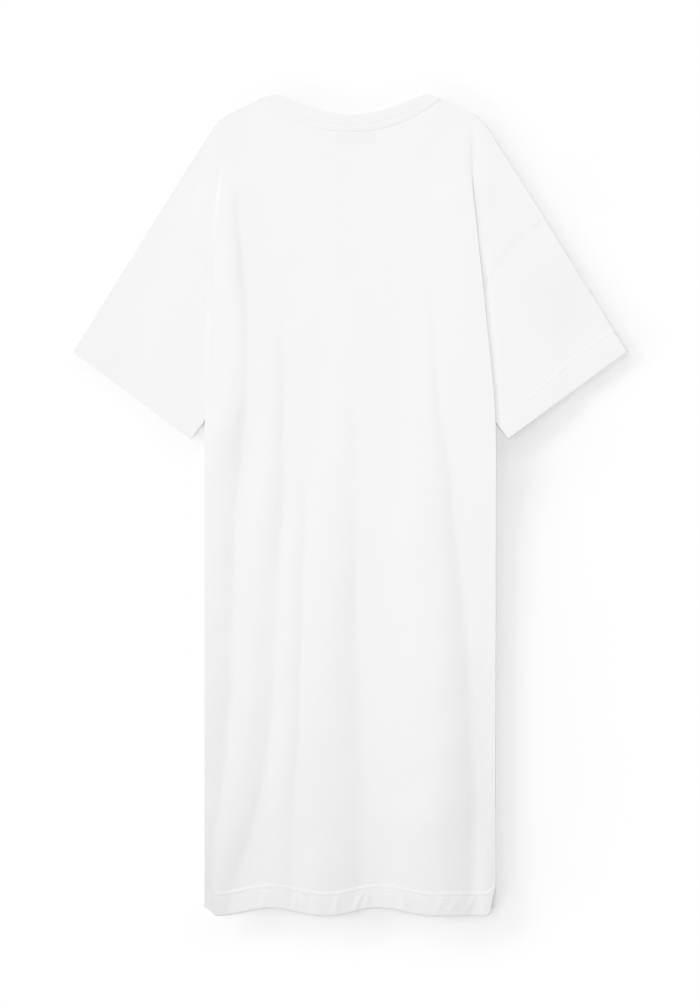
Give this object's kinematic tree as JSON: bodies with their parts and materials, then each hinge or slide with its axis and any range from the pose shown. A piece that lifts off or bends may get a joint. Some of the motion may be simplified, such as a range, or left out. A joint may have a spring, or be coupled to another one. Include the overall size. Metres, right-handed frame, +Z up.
{
  "type": "t-shirt dress",
  "caption": "Plain t-shirt dress laid flat with its back side up: ribbed crew neck, drop shoulders, short wide sleeves, sides tucked in, softly waved hem.",
  "frame": {"origin": "middle of the dress's outline, on the surface it lies on", "axes": "+Z up from the surface, through the back of the dress; +Y from the hem to the neck; +X to the wearer's right"},
  "size_m": [0.7956, 1.1779, 0.0102],
  "materials": {
    "back_panel": "matt white cotton jersey",
    "front_panel": "matt white cotton jersey",
    "sleeve_left": "matt white cotton jersey",
    "sleeve_right": "matt white cotton jersey",
    "neck_rib": "matt white cotton rib",
    "neck_label": "smooth white woven tape"
  },
  "bodies": {
    "root": {"back_panel": "back_panel", "front_panel": "front_panel", "sleeve_left": "sleeve_left", "sleeve_right": "sleeve_right", "neck_rib": "neck_rib", "neck_label": "neck_label"}
  },
  "joints": []
}
